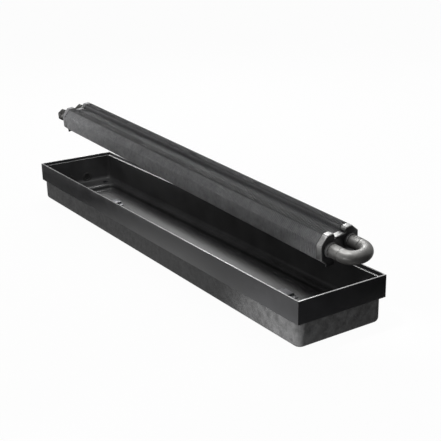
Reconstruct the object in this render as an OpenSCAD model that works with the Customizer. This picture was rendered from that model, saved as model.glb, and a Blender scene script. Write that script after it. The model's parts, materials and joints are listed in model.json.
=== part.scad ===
// Trench convector heater: a floor trough with its finned heat exchanger lifted clear of it.
// X runs along the trough, Y across it and Z up. The origin is the middle of the trough's underside.
// The exchanger is drawn seated in the trough, then raised and turned as one piece by lifted().

/* [Trough] */
// Overall length of the trough
trough_l = 1000; // [800:10:1400]
// Overall width of the trough
trough_w = 184; // [170:2:240]
// Overall height of the trough
trough_h = 86; // [82:1:110]

/* [Frame rails] */
// Height of the frame rails' lower edge over the floor
rail_z = 45.5; // [42:0.5:50]
// Wall thickness of the frame rails
rail_t = 3; // [2.5:0.5:4]
// Depth of the grille ledge under the rail's top edge
ledge_drop = 6.5; // [4:0.5:8]
// Width of the grille ledge
ledge_w = 4; // [4:0.5:6]
// Thickness of the grille ledge
ledge_t = 1.5; // [1:0.25:2]
// Chamfer along the rail's top edges
rail_chamfer = 0.5; // [0.3:0.1:0.8]
// Length of each leg of the corner keys
key_leg = 36; // [24:1:50]
// Thickness of the corner keys
key_t = 1.6; // [1:0.1:1.8]

/* [Insulating tub] */
// Step from the rail's inner face to the tub's outer face
tub_step = 0.5; // [0.3:0.1:0.7]
// Radius of the tub's upright corners
tub_corner_r = 13.5; // [11:0.5:18]
// Radius of the tub's bottom edge
tub_edge_r = 9; // [5:0.5:10]
// Thickness of the tub's floor
tub_floor_t = 3.1; // [2.5:0.1:5]

/* [Liner] */
// Thickness of the liner's sheet
liner_t = 1.2; // [0.8:0.1:1.4]
// Height of the shoulder where it meets the liner's walls
shoulder_z = 21; // [19:0.5:23]
// Fall of the shoulder towards the recess
shoulder_drop = 5; // [3:0.5:6]
// Width of the shoulder along the long sides
side_shoulder_w = 14; // [10:1:20]
// Width of the shoulder at the ends
end_shoulder_w = 42; // [38:1:50]
// Radius of the recess's upright corners
recess_r = 12; // [10:0.5:20]
// Radius between the recess's walls and its floor
cove_r = 8; // [4:0.5:9]

/* [Floor fixings] */
// Bore of the fixing bushes
fixing_bore_d = 6.6; // [5:0.1:8.4]
// Outer diameter of the fixing bushes
fixing_bush_d = 12; // [10:0.5:14]
// Distance between the two rows of fixings
fixing_row_w = 124; // [100:2:130]

/* [Pipe entries] */
// Diameter of the pipe entries in the end wall
entry_d = 20; // [16:1:21]
// Width of the lip of each entry grommet
grommet_lip = 1.5; // [1:0.25:1.5]

/* [Exchanger] */
// Width of the exchanger over its fins
exch_w = 86; // [82:1:96]
// Height of the exchanger over its fins
exch_h = 54; // [52:1:56]
// Corner cut at the top of the fins
top_cut = 14.5; // [10:0.5:16]
// Corner cut at the bottom of the fins
bottom_cut = 12.5; // [8:0.5:16]
// Width of the groove between the two lobes
groove_w = 24; // [20:1:28]
// Depth of the groove between the two lobes
groove_d = 8.5; // [6:0.5:10]
// Corner cut at the groove's upper edges
groove_cut = 3.5; // [2:0.5:5]
// Distance between the fins
fin_pitch = 4; // [4:0.5:12]
// Thickness of a fin
fin_t = 0.5; // [0.3:0.1:1]
// Wall of the fin collars
collar_t = 0.6; // [0.4:0.1:1]
// Free space between the connectors and the left end of the liner
left_room = 15.2; // [6:0.2:20]
// Free space between the return bend and the right end of the liner
right_room = 2.2; // [2:0.2:20]

/* [Tubes] */
// Outer diameter of the tubes
tube_d = 22; // [18:1:23]
// Wall thickness of the tubes
tube_t = 1; // [0.8:0.1:1.5]
// Distance between the two tubes
tube_gap = 46; // [44:1:47]
// Wall of the sockets on the return bend and the connectors
socket_t = 1.1; // [0.8:0.1:1.4]
// Length of the return bend's sockets
socket_l = 19; // [14:0.5:24]
// Length of the bare neck between sockets and bend
neck_l = 3.5; // [2:0.5:6]

/* [End plates] */
// Sheet thickness of the end plates
plate_t = 1.5; // [1:0.25:2]
// Depth of the end plates' rim
rim_d = 12; // [8:1:18]
// Width of the feet under the end plates
plate_foot_w = 20; // [14:1:24]
// Height of the feet under the end plates
plate_foot_h = 4; // [2:0.5:6]
// Radial width of the tube bushes outside the plates
bush_ring = 2.6; // [1.8:0.1:3]
// How far the tube bushes stand out of the plates
bush_out = 5; // [3:0.5:6]

/* [Connectors] */
// Length of a connector from the plate side to its open end
connector_l = 21; // [20:0.5:30]
// Free length of tube between bush and connector
connector_stand = 10; // [8:1:24]
// Width across the flats of the connectors
connector_flats = 25; // [25:0.5:28]
// Length of the hexagon on the connectors
hexagon_l = 12; // [11:0.5:14]
// Bore of the connectors' pipe thread
thread_bore_d = 18.6; // [15:0.1:19]
// Depth of the connectors' pipe thread
thread_l = 12; // [9:0.5:13]

/* [Air vent] */
// Diameter of the vent's body
vent_d = 10; // [8:0.5:11]
// Length of the vent's body
vent_l = 8; // [7:0.5:10]
// Diameter of the vent screw's shank
vent_screw_d = 5; // [4:0.5:5]
// Diameter of the vent screw's head
vent_head_d = 8; // [7:0.5:9]
// Thickness of the vent screw's head
vent_head_t = 2.5; // [2:0.25:3.5]
// Running clearance round the vent screw
vent_play = 0.05; // [0.02:0.01:0.08]

/* [Feet and supports] */
// Height of the supports over the liner's floor
support_h = 5.5; // [4:0.5:6]
// Sheet thickness of the supports and foot brackets
support_t = 1.5; // [1:0.25:2]
// Width of the supports' top
support_top_w = 24; // [20:1:30]
// Width of the supports' flanges
support_flange_w = 12; // [10:1:16]
// Length of the supports across the trough
support_l = 60; // [50:1:80]
// Diameter of the rubber feet
foot_d = 16; // [14:1:18]
// Height of the feet's flat base
foot_base_h = 2; // [1:0.25:3]
// Radius of the feet's dome
foot_dome_r = 5; // [4:0.5:6]
// Length and width of the plate over each foot
foot_plate_w = 22; // [18:1:26]
// Diameter of the support rivets' shank
rivet_d = 3.2; // [2.4:0.2:4]
// Diameter of the support rivets' head
rivet_head_d = 6; // [5:0.5:8]
// Height of the support rivets' head
rivet_head_h = 1.2; // [0.8:0.1:1.6]

/* [Lifted place] */
// How far the exchanger is raised over its seat
lift = 148; // [0:0.5:300]
// Angle through which the raised exchanger is turned, in degrees
turn = 9.6; // [0:0.1:12]

/* [Hidden] */
$fn = 64;
// Direction of the line that the raised exchanger is turned about, through the left foot
turn_axis_shares = [0.696, 0.576, 0.429];
// Extra length of every cutting shape
overrun = 2;
// Gap between pieces that lie loosely in or on each other
seat_gap = 0.2;
// Gap between a foot and what it stands on
stand_gap = 0.3;
// Radial gap of brazed, pressed and riveted joints
joint_gap = 0.05;
// How far the grille ledge reaches in past the liner's wall
ledge_lip = 0.2;
// How far the tub's rim reaches up behind the rails, as a share of the height under the liner's flange
tub_tuck_share = 0.47;
// Height of the corner keys, as a share of the height between the tub's rim and the liner's flange
key_share = 0.6;
// How far the fixing bushes stand over the middle of the shoulder
bush_raise = 1.2;
// Length of tube between the end plate's rim and the first fin
fin_margin = 1;
// How far the feet sit from the end plates, as a share of the length between the plates
foot_place_share = 0.12;
// Depth and width of the ring groove between each socket and its neck
ring_depth = 0.5;
ring_w = 0.8;
// Thickness of the bend's wall outside the tubes' outer diameter
bend_t = 1;
// How deep the connectors' sockets take the tubes
connector_socket_l = 8;
// Rounding of the corners of the connectors' hexagon, and how far the socket reaches into it
mouth_cut = 1;
// Height of the bracket's blade over the underside of the tubes
blade_rise = 7;
// Width of the bracket's blade over the tubes' distance
blade_side = 12;
// Width and depth of the slot in the vent screw
slot_w = 1.2;
slot_d = 1.2;
// Depth of the vent screw's bore
vent_bore_l = 6.5;
// Distance of the rivets from the support's middle line, across the trough
rivet_side = 20;

tub_inset = rail_t + tub_step;
inner_inset = rail_t + ledge_w - ledge_lip;
inner_l = trough_l - 2 * inner_inset;
inner_w = trough_w - 2 * inner_inset;
inner_r = tub_corner_r - (inner_inset - tub_inset);
ledge_z = trough_h - ledge_drop;
liner_top = ledge_z - ledge_t - seat_gap;
flange_z = liner_top - liner_t;
tub_top = rail_z + tub_tuck_share * (flange_z - rail_z);
key_h = key_share * (flange_z - tub_top);
floor_z = tub_floor_t + seat_gap + liner_t;
recess_top = shoulder_z - shoulder_drop;
recess_l = inner_l - 2 * end_shoulder_w;
recess_w = inner_w - 2 * side_shoulder_w;
fixing_x = inner_l / 2 - end_shoulder_w / 2;
fixing_y = fixing_row_w / 2;
fixing_top = recess_top + shoulder_drop / 2 + bush_raise;
entry_z = (shoulder_z + rail_z) / 2;

tube_r = tube_d / 2;
socket_r = tube_r + joint_gap + socket_t;
bend_r = tube_gap / 2;
bend_tube_r = tube_r + bend_t;
bend_x_out = bush_out + ring_w + socket_l + neck_l;
bend_out = bend_x_out + bend_r + bend_tube_r;
connector_out = bush_out + connector_stand + connector_l;
left_x = -inner_l / 2 + left_room + connector_out;
right_x = inner_l / 2 - right_room - bend_out;
fins_mid = (left_x + right_x) / 2;
fins_room = right_x - left_x - 2 * (rim_d + fin_margin);
fin_count = floor((fins_room - fin_t) / fin_pitch) + 1;
fin_first = -(fin_count - 1) / 2;

support_top = floor_z + support_h;
foot_z = support_top + stand_gap;
pivot_z = foot_z + foot_base_h;
foot_plate_z = pivot_z + foot_dome_r + stand_gap;
exch_z = foot_plate_z + support_t + seat_gap + exch_h / 2;
foot_inset = foot_place_share * (right_x - left_x);
left_foot_x = fin_gap_x(left_x + foot_inset);
right_foot_x = fin_gap_x(right_x - foot_inset);
rivet_x = support_top_w / 2 + support_flange_w / 2;
vent_x = left_x - connector_out + hexagon_l / 2;
vent_y = tube_gap / 2 + connector_flats / 2;

frame_colour = [0.12, 0.12, 0.13];
liner_colour = [0.07, 0.07, 0.08];
tub_colour = [0.36, 0.36, 0.37];
fin_colour = [0.30, 0.30, 0.31];
plate_colour = [0.10, 0.10, 0.11];
pipe_colour = [0.62, 0.61, 0.59];
rubber_colour = [0.06, 0.06, 0.06];
zinc_colour = [0.70, 0.71, 0.73];
brass_colour = [0.72, 0.60, 0.36];

// Middle of the gap between two fins that lies nearest under x
function fin_gap_x(x) =
  fins_mid + (floor((x - fins_mid) / fin_pitch - fin_first) + fin_first + 1 / 2) * fin_pitch;

// Lobed outline of a fin, drawn in by an even margin
function lobe_outline(m) =
  let (w = exch_w / 2, h = exch_h / 2, g = groove_w / 2, k = m * (sqrt(2) - 1))
  [[-w + m, -h + bottom_cut + k], [-w + m, h - top_cut - k], [-w + top_cut + k, h - m],
   [-g - groove_cut - k, h - m], [-g - m, h - groove_cut - k], [-g - m, h - groove_d - m],
   [g + m, h - groove_d - m], [g + m, h - groove_cut - k], [g + groove_cut + k, h - m],
   [w - top_cut - k, h - m], [w - m, h - top_cut - k], [w - m, -h + bottom_cut + k],
   [w - bottom_cut - k, -h + m], [-w + bottom_cut + k, -h + m]];

// Raises its children and turns them about the line through the left foot
module lifted() {
  translate([left_foot_x, 0, pivot_z + lift])
    rotate(a = turn, v = turn_axis_shares)
      translate([-left_foot_x, 0, -pivot_z])
        children();
}

// Extrudes a shape drawn across the exchanger along X, from one x to another
module along_x(x_from, x_to) {
  translate([x_from, 0, exch_z])
    rotate([90, 0, 90])
      linear_extrude(x_to - x_from)
        children();
}

// Cylinder along X at one of the two tube places, side -1 is near and 1 is far
module tube_rod(side, r, x_from, x_to) {
  along_x(x_from, x_to)
    translate([side * tube_gap / 2, 0])
      circle(r);
}

module rounded_rectangle(l, w, r) {
  square([l, w - 2 * r], center = true);
  square([l - 2 * r, w], center = true);
  for (sx = [-1, 1], sy = [-1, 1])
    translate([sx * (l / 2 - r), sy * (w / 2 - r)])
      circle(r);
}

// Upright section with rounded bottom corners, standing on the X axis
module pan_section(w, h, edge_r) {
  translate([-w / 2, edge_r])
    square([w, h - edge_r]);
  translate([-w / 2 + edge_r, 0])
    square([w - 2 * edge_r, edge_r]);
  for (s = [-1, 1])
    translate([s * (w / 2 - edge_r), edge_r])
      circle(edge_r);
}

// Block with round upright corners and a round bottom edge
module pan_block(l, w, h, corner_r, edge_r) {
  rotate([90, 0, 90])
    translate([0, 0, -l / 2 + corner_r])
      linear_extrude(l - 2 * corner_r)
        pan_section(w, h, edge_r);
  rotate([90, 0, 0])
    translate([0, 0, -w / 2 + corner_r])
      linear_extrude(w - 2 * corner_r)
        pan_section(l, h, edge_r);
  for (sx = [-1, 1], sy = [-1, 1])
    translate([sx * (l / 2 - corner_r), sy * (w / 2 - corner_r), 0])
      rotate_extrude()
        intersection() {
          pan_section(2 * corner_r, h, edge_r);
          square([corner_r, h]);
        }
}

// Section of the space over the liner's sloping shoulders
module shoulder_section(w, shoulder_w, grow, top) {
  edge = w / 2 + grow;
  lip = w / 2 - shoulder_w;
  polygon([[-edge, shoulder_z - grow], [-lip, recess_top - grow], [lip, recess_top - grow],
    [edge, shoulder_z - grow], [edge, top], [-edge, top]]);
}

// Inside of the liner, grown outwards and downwards by a margin
module liner_form(grow, top) {
  intersection() {
    linear_extrude(top)
      rounded_rectangle(inner_l + 2 * grow, inner_w + 2 * grow, inner_r + grow);
    translate([0, inner_w, 0])
      rotate([90, 0, 0])
        linear_extrude(2 * inner_w)
          shoulder_section(inner_l, end_shoulder_w, grow, top);
    translate([-inner_l, 0, 0])
      rotate([90, 0, 90])
        linear_extrude(2 * inner_l)
          shoulder_section(inner_w, side_shoulder_w, grow, top);
  }
  translate([0, 0, floor_z - grow])
    pan_block(recess_l + 2 * grow, recess_w + 2 * grow, recess_top - floor_z + liner_t,
      recess_r + grow, cove_r + grow);
}

module at_fixings() {
  for (sx = [-1, 1], sy = [-1, 1])
    translate([sx * fixing_x, sy * fixing_y, 0])
      children();
}

module fixing_holes() {
  at_fixings()
    cylinder(d = fixing_bush_d + 2 * seat_gap, h = trough_h);
}

module at_entries() {
  for (side = [-1, 1])
    translate([-trough_l / 2, side * tube_gap / 2, entry_z])
      rotate([0, 90, 0])
        children();
}

module entry_holes() {
  at_entries()
    cylinder(d = entry_d, h = 2 * inner_inset);
}

module at_rivets() {
  for (x = [left_foot_x, right_foot_x], sx = [-1, 1], sy = [-1, 1])
    translate([x + sx * rivet_x, sy * rivet_side, 0])
      children();
}

module rivet_holes() {
  at_rivets()
    cylinder(d = rivet_d + 2 * joint_gap, h = support_top);
}

// One frame rail along X, its outer face on the plane y = 0, with mitred ends
module rail(l) {
  in = rail_t + ledge_w;
  c = rail_chamfer;
  intersection() {
    translate([-l / 2, 0, 0])
      rotate([90, 0, 90])
        linear_extrude(l)
          polygon([[0, rail_z], [rail_t, rail_z], [rail_t, ledge_z - ledge_t],
            [in, ledge_z - ledge_t], [in, ledge_z], [rail_t, ledge_z], [rail_t, trough_h - c],
            [rail_t - c, trough_h], [c, trough_h], [0, trough_h - c]]);
    linear_extrude(trough_h + overrun)
      polygon([[-l / 2, 0], [l / 2, 0], [l / 2 - 2 * in, 2 * in], [-l / 2 + 2 * in, 2 * in]]);
  }
}

module near_rail() {
  color(frame_colour)
    translate([0, -trough_w / 2, 0])
      rail(trough_l);
}

module far_rail() {
  color(frame_colour)
    translate([0, trough_w / 2, 0])
      rotate([0, 0, 180])
        rail(trough_l);
}

module left_rail() {
  color(frame_colour)
    translate([-trough_l / 2, 0, 0])
      rotate([0, 0, -90])
        rail(trough_w);
}

module right_rail() {
  color(frame_colour)
    translate([trough_l / 2, 0, 0])
      rotate([0, 0, 90])
        rail(trough_w);
}

// Four angle strips that hold the rails together behind their walls
module corner_keys() {
  out = rail_t + seat_gap;
  color(zinc_colour)
    for (sx = [0, 1], sy = [0, 1])
      mirror([sx, 0, 0])
        mirror([0, sy, 0])
          translate([-trough_l / 2 + out, -trough_w / 2 + out, (tub_top + flange_z - key_h) / 2])
            linear_extrude(key_h)
              polygon([[0, 0], [key_leg, 0], [key_leg, key_t], [key_t, key_t], [key_t, key_leg],
                [0, key_leg]]);
}

module insulating_tub() {
  color(tub_colour)
    difference() {
      pan_block(trough_l - 2 * tub_inset, trough_w - 2 * tub_inset, tub_top, tub_corner_r, tub_edge_r);
      liner_form(liner_t + seat_gap, trough_h);
      translate([0, 0, -overrun])
        fixing_holes();
      entry_holes();
    }
}

// Black inner tray with its sloping shoulders, its recess and a flange under the grille ledge
module trough_liner() {
  flange_l = trough_l - 2 * (rail_t + seat_gap);
  flange_w = trough_w - 2 * (rail_t + seat_gap);
  color(liner_colour)
    difference() {
      union() {
        liner_form(liner_t, liner_top);
        translate([0, 0, flange_z])
          linear_extrude(liner_t)
            square([flange_l, flange_w], center = true);
      }
      liner_form(0, trough_h);
      fixing_holes();
      entry_holes();
      rivet_holes();
    }
}

// Steel spacer bushes that take the floor screws through the tub
module fixing_bushes() {
  color(zinc_colour)
    at_fixings()
      difference() {
        cylinder(d = fixing_bush_d, h = fixing_top);
        translate([0, 0, -overrun])
          cylinder(d = fixing_bore_d, h = fixing_top + 2 * overrun);
      }
}

// Rubber grommets round the two pipe entries
module pipe_grommets() {
  r = entry_d / 2;
  hole_r = r - 2 * grommet_lip;
  wall_out = tub_inset - seat_gap;
  wall_in = inner_inset + seat_gap;
  color(rubber_colour)
    at_entries()
      rotate_extrude() {
        translate([hole_r, wall_out])
          square([r - seat_gap - hole_r, wall_in - wall_out]);
        for (at = [wall_out - grommet_lip, wall_in])
          translate([hole_r, at])
            square([r + grommet_lip - hole_r, grommet_lip]);
      }
}

// Hat-shaped sheet support under one foot
module support(x) {
  top = support_top_w / 2;
  side = top + support_flange_w;
  t = support_t;
  difference() {
    translate([x, support_l / 2, floor_z])
      rotate([90, 0, 0])
        linear_extrude(support_l)
          polygon([[-side, 0], [-top + t, 0], [-top + t, support_h - t], [top - t, support_h - t],
            [top - t, 0], [side, 0], [side, t], [top, t], [top, support_h], [-top, support_h],
            [-top, t], [-side, t]]);
    rivet_holes();
  }
}

module left_support() {
  color(liner_colour)
    support(left_foot_x);
}

module right_support() {
  color(liner_colour)
    support(right_foot_x);
}

module support_rivets() {
  seat = floor_z + support_t;
  color(liner_colour)
    at_rivets() {
      translate([0, 0, floor_z - liner_t])
        cylinder(d = rivet_d, h = liner_t + support_t + rivet_head_h / 2);
      translate([0, 0, seat])
        cylinder(d1 = rivet_head_d, d2 = rivet_head_d - 2 * rivet_head_h, h = rivet_head_h);
    }
}

// Domed rubber foot, its dome centred at the height of the turning line
module foot(x) {
  translate([x, 0, foot_z])
    cylinder(d = foot_d, h = foot_base_h);
  translate([x, 0, pivot_z])
    rotate_extrude()
      intersection() {
        circle(foot_dome_r);
        square(foot_dome_r);
      }
}

module left_foot() {
  color(rubber_colour)
    translate([0, 0, lift])
      foot(left_foot_x);
}

module right_foot() {
  color(rubber_colour)
    lifted()
      foot(right_foot_x);
}

// Sheet bracket over a foot: a flat plate, and a blade between two fins that carries both tubes
module foot_bracket(x) {
  blade_w = tube_gap + blade_side;
  blade_top = exch_z - tube_r + blade_rise;
  blade_z = foot_plate_z + support_t / 2;
  difference() {
    union() {
      translate([x - foot_plate_w / 2, -foot_plate_w / 2, foot_plate_z])
        cube([foot_plate_w, foot_plate_w, support_t]);
      translate([x - support_t / 2, -blade_w / 2, blade_z])
        cube([support_t, blade_w, blade_top - blade_z]);
    }
    for (side = [-1, 1])
      tube_rod(side, tube_r + collar_t + 2 * joint_gap, x - support_t, x + support_t);
  }
}

module left_foot_bracket() {
  color(zinc_colour)
    lifted()
      foot_bracket(left_foot_x);
}

module right_foot_bracket() {
  color(zinc_colour)
    lifted()
      foot_bracket(right_foot_x);
}

// Lobed fins, joined by the collars that are drawn out round both tubes
module fin_pack() {
  first_x = fins_mid + fin_first * fin_pitch;
  last_x = fins_mid - fin_first * fin_pitch;
  color(fin_colour)
    lifted()
      difference() {
        union() {
          for (i = [0 : fin_count - 1])
            along_x(first_x + i * fin_pitch - fin_t / 2, first_x + i * fin_pitch + fin_t / 2)
              polygon(lobe_outline(0));
          for (side = [-1, 1])
            tube_rod(side, tube_r + collar_t + joint_gap, first_x, last_x);
        }
        for (side = [-1, 1])
          tube_rod(side, tube_r + joint_gap, first_x - overrun, last_x + overrun);
      }
}

module tube(side) {
  tube_from = left_x - connector_out + connector_l - connector_socket_l + joint_gap;
  tube_to = right_x + bush_out + ring_w + socket_l - 2 * joint_gap;
  color(pipe_colour)
    lifted()
      difference() {
        tube_rod(side, tube_r, tube_from, tube_to);
        tube_rod(side, tube_r - tube_t, tube_from - overrun, tube_to + overrun);
      }
}

module near_tube() {
  tube(-1);
}

module far_tube() {
  tube(1);
}

// Folded end plate, its open side turned to the fins, dir is 1 for the right one and -1 for the left
module end_plate(face_x, dir) {
  inner_x = face_x - dir * plate_t;
  back_x = face_x - dir * rim_d;
  cut_x = back_x - dir * overrun;
  difference() {
    union() {
      along_x(min(face_x, back_x), max(face_x, back_x))
        polygon(lobe_outline(0));
      for (side = [-1, 1])
        along_x(min(face_x, inner_x), max(face_x, inner_x))
          translate([side * tube_gap / 2 - plate_foot_w / 2, -exch_h / 2 - plate_foot_h])
            square([plate_foot_w, plate_foot_h + overrun]);
    }
    along_x(min(inner_x, cut_x), max(inner_x, cut_x))
      polygon(lobe_outline(plate_t));
    for (side = [-1, 1])
      tube_rod(side, tube_r + bush_ring / 2 + joint_gap, face_x - rim_d, face_x + rim_d);
  }
}

module left_end_plate() {
  color(plate_colour)
    lifted()
      end_plate(left_x, -1);
}

module right_end_plate() {
  color(plate_colour)
    lifted()
      end_plate(right_x, 1);
}

// Four stepped rubber bushes between the tubes and the end plates
module tube_bushes() {
  color(rubber_colour)
    lifted()
      for (side = [-1, 1], dir = [-1, 1])
        translate([dir > 0 ? right_x : left_x, side * tube_gap / 2, exch_z])
          rotate([0, dir * 90, 0])
            difference() {
              union() {
                cylinder(r = tube_r + bush_ring, h = bush_out);
                translate([0, 0, -2 * plate_t])
                  cylinder(r = tube_r + bush_ring / 2, h = 2 * plate_t + bush_out / 2);
              }
              translate([0, 0, -2 * plate_t - overrun])
                cylinder(r = tube_r + joint_gap, h = 2 * plate_t + bush_out + 2 * overrun);
            }
}

// Half turn of round section at the right end
module bend_rod(r) {
  translate([right_x + bend_x_out, 0, exch_z])
    rotate([0, 0, -90])
      rotate_extrude(angle = 180)
        translate([bend_r, 0])
          circle(r);
}

// Return bend with a socket on each leg and a ring groove behind each socket
module return_bend() {
  socket_from = right_x + bush_out + stand_gap;
  socket_to = right_x + bush_out + ring_w + socket_l;
  bend_from = right_x + bend_x_out;
  bore_r = tube_r - tube_t;
  color(pipe_colour)
    lifted()
      difference() {
        union() {
          bend_rod(bend_tube_r);
          for (side = [-1, 1]) {
            tube_rod(side, socket_r, socket_from, socket_to);
            tube_rod(side, socket_r - ring_depth, socket_to - ring_w, socket_to + ring_w);
            tube_rod(side, bend_tube_r, socket_to + ring_w, bend_from);
          }
        }
        bend_rod(bore_r);
        for (side = [-1, 1]) {
          tube_rod(side, bore_r, socket_from, bend_from);
          tube_rod(side, tube_r + joint_gap, socket_from - overrun, socket_to);
        }
      }
}

// Pipe connector on the left end of one tube: a socket, a hexagon and a threaded bore
module connector(side) {
  open_x = left_x - connector_out;
  hexagon_r = connector_flats / (2 * cos(30));
  color(pipe_colour)
    lifted()
      difference() {
        union() {
          tube_rod(side, socket_r, open_x + hexagon_l - mouth_cut, open_x + connector_l);
          translate([open_x, side * tube_gap / 2, exch_z])
            rotate([0, 90, 0])
              intersection() {
                cylinder(r = hexagon_r, h = hexagon_l, $fn = 6);
                cylinder(r = hexagon_r - mouth_cut / 2, h = hexagon_l);
              }
        }
        tube_rod(side, thread_bore_d / 2, open_x - overrun, open_x + thread_l);
        tube_rod(side, tube_r - 2 * tube_t - socket_t, open_x, open_x + connector_l);
        tube_rod(side, tube_r + joint_gap, open_x + connector_l - connector_socket_l,
          open_x + connector_l + overrun);
      }
}

module near_connector() {
  connector(-1);
}

module far_connector() {
  connector(1);
}

// Round body on the far connector's outer flat, bored for the vent screw
module vent_body() {
  color(brass_colour)
    lifted()
      translate([vent_x, vent_y, exch_z])
        rotate([-90, 0, 0])
          difference() {
            cylinder(d = vent_d, h = vent_l);
            translate([0, 0, vent_l - vent_bore_l])
              cylinder(d = vent_screw_d + 2 * vent_play, h = vent_bore_l + overrun);
          }
}

module vent_screw() {
  shank_from = vent_l - vent_bore_l + stand_gap;
  head_from = vent_l + stand_gap;
  color(zinc_colour)
    lifted()
      translate([vent_x, vent_y, exch_z])
        rotate([-90, 0, 0])
          difference() {
            union() {
              translate([0, 0, shank_from])
                cylinder(d = vent_screw_d, h = head_from - shank_from + vent_head_t / 2);
              translate([0, 0, head_from])
                cylinder(d = vent_head_d, h = vent_head_t);
            }
            translate([-vent_head_d, -slot_w / 2, head_from + vent_head_t - slot_d])
              cube([2 * vent_head_d, slot_w, slot_d + overrun]);
          }
}

near_rail();
far_rail();
left_rail();
right_rail();
corner_keys();
insulating_tub();
trough_liner();
fixing_bushes();
pipe_grommets();
left_support();
right_support();
support_rivets();
left_foot();
right_foot();
left_foot_bracket();
right_foot_bracket();
fin_pack();
near_tube();
far_tube();
left_end_plate();
right_end_plate();
tube_bushes();
return_bend();
near_connector();
far_connector();
vent_body();
vent_screw();
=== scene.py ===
"""Looks of a trench convector heater: a floor trough and the finned heat exchanger lifted out of it."""

import json
import math

import bmesh
import bpy
from mathutils import Matrix, Vector


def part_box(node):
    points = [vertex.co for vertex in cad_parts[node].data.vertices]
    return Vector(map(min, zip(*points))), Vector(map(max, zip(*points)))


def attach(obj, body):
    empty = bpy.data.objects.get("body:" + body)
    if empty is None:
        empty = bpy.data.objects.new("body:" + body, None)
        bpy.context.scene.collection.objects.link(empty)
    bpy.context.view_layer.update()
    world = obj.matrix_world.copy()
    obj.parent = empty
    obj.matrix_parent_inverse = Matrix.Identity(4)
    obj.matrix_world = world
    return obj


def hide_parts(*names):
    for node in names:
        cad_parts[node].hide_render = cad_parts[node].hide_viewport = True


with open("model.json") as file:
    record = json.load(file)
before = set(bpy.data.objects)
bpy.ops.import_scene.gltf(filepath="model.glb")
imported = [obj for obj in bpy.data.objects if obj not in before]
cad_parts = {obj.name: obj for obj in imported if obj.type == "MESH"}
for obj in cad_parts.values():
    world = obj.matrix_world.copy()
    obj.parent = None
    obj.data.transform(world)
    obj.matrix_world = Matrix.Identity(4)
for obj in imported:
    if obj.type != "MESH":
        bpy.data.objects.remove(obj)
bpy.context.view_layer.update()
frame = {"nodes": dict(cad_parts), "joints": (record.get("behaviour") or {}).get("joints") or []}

bl_info = {
    "name": "Trench convector heater",
    "version": (1, 0, 0),
    "blender": (4, 5, 0),
    "location": "View3D > Sidebar > Convector",
    "description": "Builds the finished surfaces of a trench convector heater round its packed frame",
    "category": "Add Mesh",
}

MM = 0.001
JOINTS = {joint["name"]: joint for joint in frame["joints"]}
TUB_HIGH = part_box("insulating_tub")[1]
LINER_LOW, LINER_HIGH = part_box("trough_liner")
RAIL_LOW, RAIL_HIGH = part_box("near_rail")

# Openings through the liner and the tub; a cutter reaches as far to both sides of a hole's middle
ENTRY_RADIUS = 10 * MM
ENTRY_REACH = 20 * MM
FIXING_RADIUS = 6.2 * MM
FIXING_REACH = 50 * MM
SKIN_RADIUS = 7.2 * MM
SKIN_REACH = 0.4 * MM

# Fits and small details
RAIL_SHEET = 3 * MM
TUB_CLEARANCE = 0.3 * MM
FLANGE_CORNER = 1 * MM
LEAST_CORNER = 1 * MM
COLLAR_CLEARANCE = 0.05 * MM
BUSH_WALL = 1.35 * MM
PLATE_FOOT_HEIGHT = 4 * MM
PLATE_FOOT_WIDTH = 20 * MM
FIN_CROOK = math.radians(0.18)
CROOK_SEED = 11

# Points nearer to each other than this are one point
CAD_WELD = 0.002 * MM
SHEET_WELD = 0.01 * MM

# Faces that meet at less than the first are one face, at more than the second a sharp edge
FLAT_ANGLE = math.radians(0.6)
SHARP_ANGLE = math.radians(32)

FLOOR_REACH = 60
FLOOR_GAP = 0.2 * MM


def length(name, description, default):
    """A size property in metres."""
    return bpy.props.FloatProperty(
        name=name, description=description, default=default, min=0, unit="LENGTH", precision=5)


def place_along(name, description, default):
    """A place along the trough, on either side of its middle."""
    return bpy.props.FloatProperty(
        name=name, description=description, default=default, unit="LENGTH", precision=5)


def turn_of(name, description, degrees):
    """An angle property, with its default in degrees."""
    return bpy.props.FloatProperty(
        name=name, description=description, default=math.radians(degrees), subtype="ANGLE")


def colour(name, description, default):
    """A colour property."""
    return bpy.props.FloatVectorProperty(
        name=name, description=description, default=default, size=3, min=0, max=1, subtype="COLOR")


class TroughSettings(bpy.types.PropertyGroup):
    """Sizes and colours of the trough."""

    wall_inset: length("Wall inset", "From the frame's outer face to the liner's inner wall", 6.8 * MM)
    wall_radius: length("Wall corner radius", "Radius of the liner's upright corners", 10.2 * MM)
    liner_thickness: length("Liner thickness", "Sheet thickness of the liner", 1.2 * MM)
    shoulder_height: length("Shoulder height", "Height of the shoulders at the liner's walls", 21 * MM)
    shoulder_fall: length("Shoulder fall", "How far the shoulders fall towards the recess", 5 * MM)
    side_shoulder: length("Side shoulder", "Width of the shoulder along the long sides", 14 * MM)
    end_shoulder: length("End shoulder", "Width of the shoulder at the ends", 42 * MM)
    shoulder_radius: length("Shoulder radius", "Radius between the walls and the shoulders", 10 * MM)
    lip_radius: length("Lip radius", "Radius over the recess's upper edge", 7 * MM)
    recess_radius: length("Recess corner radius", "Radius of the recess's upright corners", 12 * MM)
    cove_radius: length("Cove radius", "Radius between the recess's walls and its floor", 7 * MM)
    tub_corner: length("Tub corner radius", "Radius of the tub's upright corners", 13.5 * MM)
    tub_edge: length("Tub edge radius", "Radius of the tub's bottom edge", 9 * MM)
    frame_colour: colour("Frame", "Colour of the coated frame rails", (0.012, 0.012, 0.013))
    liner_colour: colour("Liner", "Colour of the glossy liner", (0.029, 0.029, 0.0295))
    # Painted highlight: the rails' upward top edges are coloured light, as where light falls on them.
    edge_colour: colour("Frame edges", "Colour of the rails' painted highlight on upward edges", (0.16, 0.16, 0.16))
    # Painted highlight: the grille ledges' upward faces are coloured light, as where light falls on them.
    ledge_highlight_colour: colour("Ledges", "Colour of the rails' grille ledges", (0.42, 0.42, 0.42))
    tub_colour: colour("Tub", "Colour of the mottled tub", (0.042, 0.042, 0.0424))


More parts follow.
